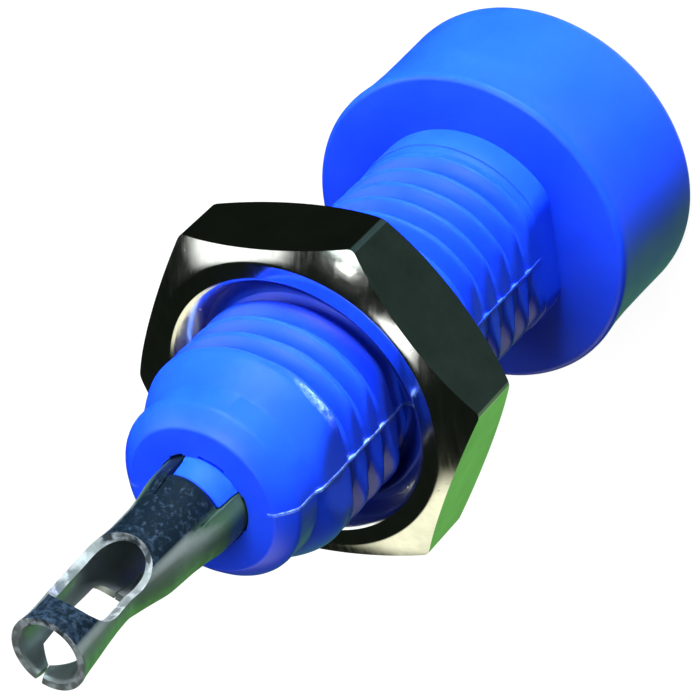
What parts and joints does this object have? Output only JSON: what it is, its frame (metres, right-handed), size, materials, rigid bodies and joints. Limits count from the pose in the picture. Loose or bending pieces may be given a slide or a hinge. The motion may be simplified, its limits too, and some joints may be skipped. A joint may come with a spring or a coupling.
{
  "type": "tip jack",
  "caption": "Insulated panel tip jack: a moulded body with a threaded, flatted barrel, a rolled contact ending in a flared solder terminal, and a hex mounting nut.",
  "frame": {"origin": "centre of the head's flat front face, on the plug axis, where the part stands", "axes": "+Z runs along the plug axis from the front face to the end of the terminal; +X is the outward normal of one of the barrel's two flats"},
  "size_m": [0.0108, 0.0098, 0.0254],
  "materials": {
    "nylon": "moulded blue nylon, soft gloss",
    "tinned": "tin-plated brass strip, dull satin",
    "nickel": "nickel-plated, bright with fine scratches"
  },
  "bodies": {
    "jack": {"nylon_body": "nylon", "contact": "tinned"},
    "nut": {"hex_nut": "nickel"}
  },
  "joints": [
    {"name": "nut_travel", "type": "slide", "parent": "jack", "child": "nut", "axis": [0, 0, 1], "range_m": [-0.00556, 0.00556]}
  ]
}
